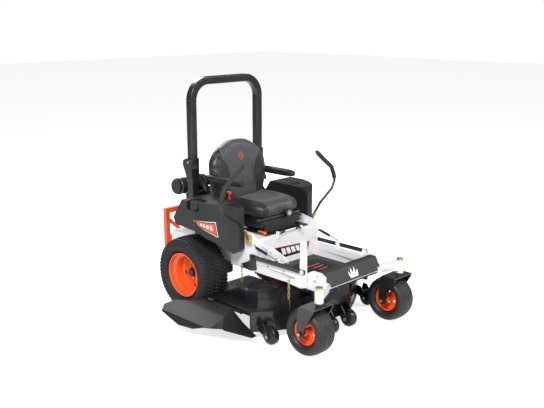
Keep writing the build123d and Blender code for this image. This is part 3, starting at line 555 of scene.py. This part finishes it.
def cushion_form(u, v, w):
    """A seat cushion: sides drawn in towards the corners, a dished top and a rolled front edge."""
    x = u * (1 - 0.10 * v ** 4) * (1 - 0.10 * max(0, -v) ** 3) * (1 - 0.08 * w * w)
    y = v * (1 - 0.06 * u ** 4) * (1 - 0.05 * w * w)
    if w <= 0:
        return x, y, w
    dish = 0.34 * (1 - min(1, abs(u) / 0.72) ** 4) * min(1, (v + 1) / 0.7)
    front_roll = 0.22 * max(0, (-v - 0.55) / 0.45) ** 2
    return x, y, w * (0.88 - dish - front_roll - 0.16 * abs(u) ** 8)


low, high = (Vector(corner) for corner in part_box("seat_cushion"))
cushion_skin = vinyl("seat cushion vinyl", "Y", low.y, high.y,
                     [(0, 0.125), (0.12, 0.150), (0.4, 0.172), (1, 0.180)])
cushion = shaped_block(low + Vector((0.006, 0.006, 0.001)), high + Vector((-0.006, -0.004, 0.010)), 26,
                       cushion_form)
blow_up(cushion, cushion_swell)
settle(cushion, "cushion_cover", cushion_skin, "seat")
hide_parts("seat_cushion")


def back_form(u, v, w):
    """A backrest: rounded over the top, leaning back, with bolsters that stand forward at its sides."""
    top = max(0, (w - 0.05) / 0.95)
    x = u * (1 - 0.62 * top ** 2.6) * (1 - 0.12 * max(0, -w) ** 2) * (1 - 0.06 * v * v)
    bolster = max(0, min(1, (abs(u) - 0.45) / 0.45)) * max(0, 1 - abs(w + 0.15) / 0.75)
    y = v * (0.58 - 0.12 * max(0, abs(w) - 0.7)) + 0.19 * w
    y -= 0.25 * bolster if v < 0 else -0.12 * u * u
    return x, y * (1 - 0.25 * top ** 4), w - 0.05 * abs(u) ** 3 * top


back_low, back_high = (Vector(corner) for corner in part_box("seat_back"))
back_outline = [(0, 0.150), (0.22, 0.140), (0.42, 0.118), (0.6, 0.140), (0.76, 0.196), (0.88, 0.180),
                (0.955, 0.115), (0.985, 0.0), (1, 0.0)]
back_skin = vinyl("seat back vinyl", "Z", back_low.z, back_high.z, back_outline)
back_margin = Vector((0.004, 0, 0.006))
back = shaped_block(back_low + back_margin, back_high - back_margin, 30, back_form)
blow_up(back, back_swell)
settle(back, "back_cover", back_skin, "seat")
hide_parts("seat_back")

# Armrests: short moulded foam pads that fold up on a pin through the seat back.
pad_skin = finish("armrest foam skin", (0.010, 0.010, 0.0105), 0.5, mottle=0.2, mottle_scale=12, grain=0.5,
                  grain_scale=380, depth=0.0006)


def pad_form(u, v, w):
    """An armrest pad: rounded at both ends, crowned on top and a little thicker at the front."""
    x = u * (1 - 0.35 * abs(v) ** 10) * (1 - 0.12 * w * w)
    y = v * (1 - 0.06 * u ** 4) * (1 - 0.05 * w ** 4)
    front_swell = 0.08 * (1 - v) * (1 if w > 0 else 0.4) - 0.08
    return x, y, w * (0.86 - 0.22 * v ** 6) * (1 - 0.20 * u ** 4) + front_swell


for side in ("right", "left"):
    low, high = (Vector(corner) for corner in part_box(side + "_armrest"))
    pad = shaped_block(low + Vector((0.001, 0.003, 0.004)), high - Vector((0.001, 0.003, 0.006)), 12,
                       pad_form)
    blow_up(pad, pad_swell, voxel=0.005)
    settle(pad, side + "_armrest_pad", pad_skin, side + "_armrest")
    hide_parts(side + "_armrest")

# Drive levers: black rods on zinc tangs, with foam grips that end in soft round tips. Both lines are given as
# distances from the middle plane and heights, in millimetres.
rod_black = finish("lever rod coat", (0.012, 0.012, 0.013), 0.35, coat=0.2, mottle=0.2, grain=0.15,
                   depth=0.0004)
foam = finish("foam grip", (0.016, 0.016, 0.017), 0.68, mottle=0.25, mottle_scale=14, grain=0.6,
              grain_scale=420, depth=0.0007)
grip_line = ((616, 956), (608, 985), (576, 1058), (478, 1132), (390, 1206))
rod_line = ((384, 716), (440, 780), (520, 836), (585, 880), (616, 940), (608, 985))
lever_plane = -515
rod_radius, grip_radius, tip_taper = 0.0102, 0.0172, 0.55
boss_radius, boss_length, tang_size = 0.0118, 0.026, (0.076, 0.025, 0.017)


def piped(name, points, radius, smooth=6, round_ends=False):
    """A round bar whose bends are eased arcs, as a mesh; points are places in metres."""
    line = bpy.data.curves.new(name, "CURVE")
    line.dimensions = "3D"
    line.bevel_depth = radius
    line.bevel_resolution = smooth
    line.use_fill_caps = True
    spline = line.splines.new("NURBS")
    spline.points.add(len(points) - 1)
    for place, point in zip(spline.points, points):
        place.co = (*point, 1)
    spline.use_endpoint_u = True
    spline.order_u = 3
    spline.resolution_u = 10
    if round_ends:
        for end in (0, -1):
            spline.points[end].radius = tip_taper
    piece = bpy.data.objects.new(name, line)
    bpy.context.scene.collection.objects.link(piece)
    make_active(piece)
    bpy.ops.object.convert(target="MESH")
    bpy.ops.object.shade_smooth()
    return bpy.context.object


def eased(corners, share):
    """The corners of a bent bar, each flanked by two points a share of the way to its neighbours."""
    route = [corners[0]]
    for before, here, after in zip(corners, corners[1:], corners[2:]):
        route.append(here.lerp(before, share))
        route.append(here)
        route.append(here.lerp(after, share))
    route.append(corners[-1])
    return route


for side, sign in sides:
    rod_points = eased([at(sign * x, lever_plane, z) for x, z in rod_line], 0.22)
    rod = piped(side + "_lever_rod", rod_points, rod_radius)
    settle(rod, side + "_lever_rod", rod_black, side + "_lever")
    corners = [at(sign * x, lever_plane, z) for x, z in grip_line]
    start, tip = corners[0], corners[-1]
    near_start, near_tip = start.lerp(corners[1], 0.2), corners[-2].lerp(tip, 0.93)
    soft = [start, near_start] + eased(corners, 0.2)[1:-1] + [near_tip, tip]
    grip = piped(side + "_lever_grip", soft, grip_radius, smooth=8, round_ends=True)
    settle(grip, side + "_lever_grip", foam, side + "_lever")
    boss = cylinder(32, boss_radius, boss_length, "Y", at(sign * 344, lever_plane, 658), 0.001)
    settle(boss, side + "_lever_boss", zinc, side + "_lever")
    low_end, high_end = at(sign * 345, lever_plane, 661), at(sign * 390, lever_plane, 723)
    lean = math.atan2(high_end.z - low_end.z, high_end.x - low_end.x)
    tang = slab((low_end + high_end) / 2, tang_size, 0.003, (0, -lean, 0))
    settle(tang, side + "_lever_tang", zinc, side + "_lever")
    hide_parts(side + "_lever")

# Lift chains: short lengths of welded oval links, each turned a quarter from the last.
chain_low, chain_high = (Vector(corner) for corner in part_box("lift_chains"))
link_length, link_wire, link_half, link_turn = 0.030, 0.0027, 0.0070, 0.25
chain_top_gap = 0.004
chain_places = (("right_front", -348, -928), ("left_front", 348, -928), ("right_rear", -348, -440),
                ("left_rear", 348, -440))
for name, x, y in chain_places:
    top = chain_high.z - chain_top_gap
    count = int((top - chain_low.z) / (link_length - 2 * link_wire))
    pitch = (top - chain_low.z - 2 * link_wire) / count
    links = []
    for step in range(count):
        select_none()
        bpy.ops.mesh.primitive_torus_add(major_radius=link_half, minor_radius=link_wire, major_segments=20,
                                         minor_segments=8)
        link = bpy.context.object
        for vertex in link.data.vertices:
            vertex.co.y += math.copysign(pitch / 2 + link_wire - link_half, vertex.co.y)
        link.rotation_euler = (math.pi / 2, 0, math.pi / 2 * (step % 2) + link_turn)
        link.location = at(x, y, 0) + Vector((0, 0, chain_low.z + link_wire + pitch * (step + 0.5)))
        bpy.ops.object.transform_apply(location=True, rotation=True, scale=True)
        links.append(link)
    chain = joined(links)
    bpy.ops.object.shade_smooth()
    settle(chain, name + "_chain", zinc, "deck")
    if name == "right_front":
        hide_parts("lift_chains")

# Seat suspension: a rubber bellows of three folds under the pan, and a ride knob with a bright face.
bellows_rubber = finish("bellows rubber", (0.016, 0.016, 0.017), 0.6, mottle=0.25, mottle_scale=10, grain=0.3,
                        grain_scale=200, depth=0.0006)
cover_low, cover_high = (Vector(corner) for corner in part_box("seat_suspension"))
coat_nodes(bellows_rubber, ["seat_suspension"], 0.002)
fold_count, fold_size, fold_edge = 3, 0.008, 0.0034
lowest_fold = 0.036    # clear of the seat base when the suspension is at the foot of its 28 mm travel
for fold in range(fold_count):
    rise = cover_high.z - cover_low.z - lowest_fold - fold_size
    height = cover_low.z + lowest_fold + rise * fold / (fold_count - 1)
    middle = Vector(((cover_low.x + cover_high.x) / 2, (cover_low.y + cover_high.y) / 2, height))
    fold_plan = (cover_high.x - cover_low.x + fold_size, cover_high.y - cover_low.y + fold_size, fold_size)
    ring = slab(middle, fold_plan, fold_edge)
    settle(ring, "bellows_fold_" + str(fold + 1), bellows_rubber, "seat_suspension")
coat_nodes(glossy_plastic, ["suspension_knob"], 0.004)
bright = finish("bright knob face", (0.45, 0.45, 0.44), 0.28, metal=0.85, mottle=0.1, grain=0.1)
knob_low, knob_high = (Vector(corner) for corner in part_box("suspension_knob"))
knob_centre = (knob_low + knob_high) / 2
face_radius, face_depth, face_shift = 0.0215, 0.004, 0.0005
rib_count, rib_circle, rib_radius, rib_depth, rib_shift = 12, 0.031, 0.0035, 0.026, 0.017
face_place = (knob_centre.x, knob_low.y + face_shift, knob_centre.z)
face = cylinder(48, face_radius, face_depth, "Y", face_place, 0.0012)
settle(face, "knob_face", bright, "suspension_knob")
for step in range(rib_count):
    turn = 2 * math.pi * step / rib_count
    rib_place = (knob_centre.x + rib_circle * math.cos(turn), knob_low.y + rib_shift,
                 knob_centre.z + rib_circle * math.sin(turn))
    rib = cylinder(12, rib_radius, rib_depth, "Y", rib_place, 0.0008, 1)
    settle(rib, "knob_rib_" + str(step + 1), glossy_plastic, "suspension_knob")

# Seat latch: an orange grab tab at the front corner of the tipping plate.
latch_orange = finish("latch orange", (0.90, 0.16, 0.012), 0.35, coat=0.3, mottle=0.06, grain=0.1)
latch = slab(at(-219, -527, 668), (0.026, 0.075, 0.020), 0.004)
settle(latch, "seat_latch_tab", latch_orange, "seat_base")

# Stickers: plain slashes and wedges in orange, white and black, with no lettering, each a thin printed film.
film_black = finish("black film", (0.010, 0.010, 0.011), 0.28, coat=0.3, mottle=0.05, grain=0.03)
film_orange = finish("orange film", (0.72, 0.060, 0.020), 0.28, coat=0.3, mottle=0.04, grain=0.03)
film_white = finish("white film", (0.85, 0.85, 0.86), 0.28, coat=0.3, mottle=0.02, grain=0.03)
film = 0.0007


def thicken(piece):
    """Gives a flat film its thickness."""
    thick = piece.modifiers.new("thick", "SOLIDIFY")
    thick.thickness = film
    thick.offset = 0
    bpy.ops.object.modifier_apply(modifier="thick")
    turn_outward()


def sticker(name, corners, out, layer, material, body):
    """A flat film cut to the corners, lying just off its surface in the direction out."""
    select_none()
    bpy.ops.mesh.primitive_circle_add(vertices=len(corners), radius=1, fill_type="NGON", location=(0, 0, 0))
    piece = bpy.context.object
    for vertex, corner in zip(piece.data.vertices, corners):
        vertex.co = corner + out * film * (layer + 0.6)
    thicken(piece)
    settle(piece, name, material, body)


def inset(corners, share):
    """The same corners drawn in towards their middle."""
    middle = sum(corners, Vector()) / len(corners)
    return [corner.lerp(middle, share) for corner in corners]


# Seat tower: an orange panel with a black one inside it, and five white slashes.
tower_front = at(0, -596, 0).y
forward = Vector((0, -1, 0))
panel_corners = ((-168, 549), (236, 524), (212, 451), (-61, 453))
panel = [Vector((at(x, 0, z).x, tower_front, at(x, 0, z).z)) for x, z in panel_corners]
sticker("tower_film_orange", panel, forward, 0, film_orange, "chassis")
sticker("tower_film_black", inset(panel, 0.07), forward, 1, film_black, "chassis")
slash_count, slash_start, slash_pitch = 5, -62, 52
for step in range(slash_count):
    x = slash_start + slash_pitch * step
    top_z, low_z = 529 - 2.6 * step, 476 - step
    slash = [at(x - 26, 0, top_z), at(x + 12, 0, top_z - 2), at(x + 34, 0, low_z), at(x - 4, 0, low_z)]
    slash = [Vector((corner.x, tower_front, corner.z)) for corner in slash]
    sticker("tower_slash_" + str(step + 1), slash, forward, 2, film_white, "chassis")

# Toe panel: four white blades of grass, each given by its foot, tip, height and width in millimetres.
panel_low, panel_high = at(0, -1251, 428), at(0, -1204, 522)
blade_foot = 0.036
blade_shapes = ((-30, -50, 52, 22), (-11, -19, 74, 24), (11, 19, 74, 24), (30, 50, 52, 22))
up_slope = (panel_high - panel_low).normalized()
off_slope = Vector((0, -up_slope.z, up_slope.y))
panel_middle = (panel_low + panel_high) / 2
for step, (foot, tip, height, width) in enumerate(blade_shapes):
    base = panel_middle - up_slope * blade_foot
    blade = [base + Vector(((foot - width / 2) / 1000, 0, 0)),
             base + Vector(((foot + width / 2) / 1000, 0, 0)),
             base + Vector(((foot + tip + width / 2) / 2000, 0, 0)) + up_slope * height / 1800,
             base + Vector((tip / 1000, 0, 0)) + up_slope * height / 1000,
             base + Vector(((foot + tip - width) / 2000, 0, 0)) + up_slope * height / 1800]
    sticker("toe_blade_" + str(step + 1), blade, off_slope, 0, film_white, "chassis")

# Deck: four white slashes on its left front facet.
facet_start, facet_end = at(200, -1040, 0), at(470, -890, 0)
slash_low, slash_high = Vector((0, 0, 0.118)), Vector((0, 0, 0.152))
along = (facet_end - facet_start).normalized()
facing = Vector((along.y, -along.x, 0))
for step in range(4):
    base = facet_start + along * (0.070 + 0.030 * step)
    bar = [base + slash_low, base + along * 0.016 + slash_low,
           base + along * 0.030 + slash_high, base + along * 0.014 + slash_high]
    sticker("deck_slash_" + str(step + 1), bar, facing, 0, film_white, "deck")


# Fender stickers: a long orange wedge that wraps round the front corner of each tank.
tank_outline = ((60, 590), (-190, 590), (-285, 560), (-375, 505), (-468, 398))
wedge_lift, layer_lift = 1.2, 0.8
wedge_columns, wedge_rows = 30, 4


def tank_skin(y):
    """How far the tank's outer side is from the middle plane at y from the axle, in millimetres."""
    for (y0, x0), (y1, x1) in zip(tank_outline, tank_outline[1:]):
        if y >= y1:
            return x0 + (x1 - x0) * (y - y0) / (y1 - y0)
    return tank_outline[-1][1]


def wedge(name, sign, start, end, low, high, layer, material):
    """A film that follows the tank's side from start to end, between a low and a high share of the wedge."""
    select_none()
    bpy.ops.mesh.primitive_grid_add(x_subdivisions=wedge_columns, y_subdivisions=wedge_rows, size=2,
                                    location=(0, 0, 0))
    piece = bpy.context.object
    for vertex in piece.data.vertices:
        s = start + (end - start) * (vertex.co.x + 1) / 2
        t = low + (high - low) * (vertex.co.y + 1) / 2
        upper_y, upper_z = -178 - 172 * s, 768 + 4 * s
        lower_y, lower_z = -190 - 176 * s, 752 - 96 * s
        y, z = lower_y + (upper_y - lower_y) * t, lower_z + (upper_z - lower_z) * t
        vertex.co = at(sign * (tank_skin(y) + wedge_lift + layer_lift * layer), y, z)
    thicken(piece)
    settle(piece, name, material, "chassis")


for side, sign in sides:
    wedge(side + "_wedge_edge", sign, 0, 1, 0, 1, 0, film_white)
    wedge(side + "_wedge_black", sign, 0.02, 0.985, 0.05, 0.95, 1, film_black)
    wedge(side + "_wedge_orange", sign, 0.16, 0.95, 0.14, 0.86, 2, film_orange)
    for step in range(4):
        start = 0.34 + 0.14 * step
        wedge(side + "_wedge_slash_" + str(step + 1), sign, start, start + 0.075, 0.34, 0.68, 3, film_white)

# Stitching: a row of pale thread down each side of the backrest's insert, and a double diamond in orange.
thread_grey = finish("grey thread", (0.16, 0.165, 0.17), 0.6, mottle=0.1, grain=0.3)
thread_orange = finish("orange thread", (0.60, 0.070, 0.020), 0.55, mottle=0.15, grain=0.4)


def sewn(name, piece, places, toward, radius, material, lift=0.0006):
    """A thread through places that are first pressed onto the piece's surface in the direction given."""
    route = []
    for place in places:
        hit, point = piece.ray_cast(place - toward * 0.5, toward)[:2]
        if hit:
            route.append(point - toward * lift)
    if len(route) > 3:
        settle(piped(name, route, radius, smooth=2), name, material, "seat")


backward = Vector((0, 1, 0))
badge_z, badge_thread, seam_thread, seam_lift = 1.164, 0.0022, 0.0013, 0.0002
badge_outline = ((0, 0.034), (0.026, 0), (0, -0.034), (-0.026, 0), (0, 0.034))
for number, share in enumerate((1.0, 0.55)):
    diamond = []
    for (x0, z0), (x1, z1) in zip(badge_outline, badge_outline[1:]):
        for step in range(6):
            x, z = x0 + (x1 - x0) * step / 6, z0 + (z1 - z0) * step / 6
            diamond.append(Vector((mid_x + share * x, axle_y, badge_z + share * z)))
    diamond.append(diamond[0])
    sewn("badge_diamond_" + str(number + 1), back, diamond, backward, badge_thread, thread_orange)

back_span = back_high.z - back_low.z
seam_steps = 48
for side, sign in sides:
    seam = []
    for step in range(3, seam_steps - 2):
        along = step / seam_steps
        for (s0, w0), (s1, w1) in zip(back_outline, back_outline[1:]):
            if s0 <= along <= s1:
                width = w0 + (w1 - w0) * (0.5 - 0.5 * math.cos(math.pi * (along - s0) / (s1 - s0)))
        seam.append(Vector((mid_x + sign * (width + 0.004), axle_y, back_low.z + along * back_span)))
    sewn(side + "_back_seam", back, seam, backward, seam_thread, thread_grey, lift=seam_lift)

# Floor mat: a ribbed rubber tread plate with three orange flashes, laid on the floor pan.
mat_rubber = finish("mat rubber", (0.012, 0.012, 0.012), 0.65, mottle=0.3, mottle_scale=12, grain=0.4,
                    grain_scale=260, depth=0.0008, wear=0.03, worn=(0.05, 0.05, 0.05))
coat_nodes(mat_rubber, ["foot_mat"], 0.002)
mat_low, mat_high = (Vector(corner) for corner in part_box("foot_mat"))
mat_rib_count, mat_margin, mat_rib_width, mat_rib_height = 13, 0.022, 0.009, 0.004
mat_rib_length = mat_high.x - mat_low.x - 0.06
for step in range(mat_rib_count):
    y = mat_low.y + mat_margin + (mat_high.y - mat_low.y - 2 * mat_margin) * step / (mat_rib_count - 1)
    rib_size = (mat_rib_length, mat_rib_width, mat_rib_height)
    rib = slab(Vector((mid_x, y, mat_high.z + 0.001)), rib_size, 0.0012)
    settle(rib, "mat_rib_" + str(step + 1), mat_rubber, "chassis")
flash_count, flash_pitch, flash_height = 3, 50, 413.4
for step in range(flash_count):
    flash_size = (0.130 - 0.02 * step, 0.010, 0.0012)
    flash = slab(at(55, -800 - flash_pitch * step, flash_height), flash_size, 0.0004)
    settle(flash, "mat_flash_" + str(step + 1), film_orange, "chassis")

# Bolts and nuts: hexagon heads in zinc on the deck, belt covers, roller brackets, forks and roll bar.
# Each is a body, a place, an axis, a radius and a depth.
cover_bolt, hub_bolt, roller_bolt = ("Z", 0.0075, 0.006), ("Z", 0.006, 0.005), ("X", 0.013, 0.008)
pin_bolt, panel_bolt, small_panel_bolt = ("X", 0.013, 0.009), ("X", 0.009, 0.007), ("X", 0.007, 0.006)
hub_circle, hub_y = 38, -770
bolts = []
for x, y in ((425, -385), (425, -575), (222, -385), (222, -560), (250, -705)):
    for sign in (-1, 1):
        bolts.append(("deck", at(sign * x, y, 292), *cover_bolt))
for step in range(6):
    turn = math.radians(60 * step)
    place = at(hub_circle * math.cos(turn), hub_y + hub_circle * math.sin(turn), 237)
    bolts.append(("deck", place, *hub_bolt))
for x, y in ((-541, -944), (541, -944), (-100, -1116), (100, -1116)):
    for sign in (-1, 1):
        bolts.append(("deck", at(x + sign * 49, y, 70), *roller_bolt))
for side, sign in sides:
    for offset in (-118, 118):
        bolts.append((side + "_caster", at(sign * 450 + offset, -1230, 168.5), *pin_bolt))
    for offset in (-46, 46):
        bolts.append(("chassis", at(sign * 348 + offset, 108, 1140), *pin_bolt))
    bolts.append(("chassis", at(sign * 331, -1160, 470), *panel_bolt))
    bolts.append(("chassis", at(sign * 331, -1180, 505), *small_panel_bolt))
for number, (body, place, axis, radius, depth) in enumerate(bolts):
    head = cylinder(6, radius, depth, axis, place, 0.0012)
    settle(head, "bolt_" + str(number + 1), zinc, body)

# Steering dampers: bright rods in black tubes beside the seat tower, with ball ends on short studs.
tube_radius, damper_rod_radius, ball_radius, stud_radius, stud_length = 0.011, 0.0045, 0.0115, 0.006, 0.014
bright_rod = finish("bright rod", (0.62, 0.62, 0.62), 0.2, metal=0.95, mottle=0.1, grain=0.05)


def straight_bar(name, start, end, radius, material):
    """A straight round bar that is fixed to the frame."""
    settle(piped(name, [start, start.lerp(end, 0.5), end], radius), name, material, "chassis")


for side, sign in sides:
    tube_start, tube_end = at(sign * 346, -598, 592), at(sign * 346, -706, 566)
    rod_end = at(sign * 346, -800, 543)
    straight_bar(side + "_damper_tube", tube_start, tube_end, tube_radius, satin_black)
    straight_bar(side + "_damper_rod", tube_end, rod_end, damper_rod_radius, bright_rod)
    for number, place in enumerate((tube_start, rod_end)):
        select_none()
        bpy.ops.mesh.primitive_uv_sphere_add(segments=20, ring_count=12, radius=ball_radius, location=place)
        ball = bpy.context.object
        bpy.ops.object.shade_smooth()
        settle(ball, side + "_damper_ball_" + str(number + 1), zinc, "chassis")
        stud_end = place - Vector((sign * stud_length, 0, 0))
        straight_bar(side + "_damper_stud_" + str(number + 1), place, stud_end, stud_radius, zinc)
    bracket = slab(at(sign * 331.5, -800, 520), (0.003, 0.040, 0.060), 0.001)
    settle(bracket, side + "_damper_bracket", white, "chassis")

# Engine: a slotted cooling screen on the shroud, fins on both heads, and bands round the air cleaner.
low, high = (Vector(corner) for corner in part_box("engine_shroud"))
screen_middle = at(0, 250, 0) + Vector((0, 0, high.z))
ring_count, screen_radius, screen_pitch, screen_wire = 6, 0.096, 0.015, 0.0022
ring_lift = Vector((0, 0, 0.001))
spoke_count, spoke_size, spoke_lift = 8, (0.190, 0.004, 0.003), Vector((0, 0, 0.0012))
fin_count, fin_start, fin_pitch, fin_size = 9, 140, 7.5, (0.002, 0.136, 0.100)
cleaner_radius, band_wire, band_places = 0.066, 0.0025, (-325, -265, -90)
for ring in range(ring_count):
    screen = wire_ring(screen_radius - screen_pitch * ring, screen_wire, "Z", screen_middle + ring_lift)
    settle(screen, "screen_ring_" + str(ring + 1), satin_black, "chassis")
for spoke in range(spoke_count):
    turn = math.pi * spoke / spoke_count
    bar = slab(screen_middle + spoke_lift, spoke_size, 0.0008, (0, 0, turn))
    settle(bar, "screen_spoke_" + str(spoke + 1), satin_black, "chassis")
for sign in (-1, 1):
    for fin in range(fin_count):
        piece = slab(at(sign * (fin_start + fin_pitch * fin), 230, 586), fin_size, 0.0005)
        settle(piece, "head_fin_" + ("r" if sign < 0 else "l") + str(fin + 1), cast, "chassis")
for x in band_places:
    band = wire_ring(cleaner_radius, band_wire, "X", at(x, 330, 905))
    settle(band, "cleaner_band_" + str(-x), ground_steel, "chassis")
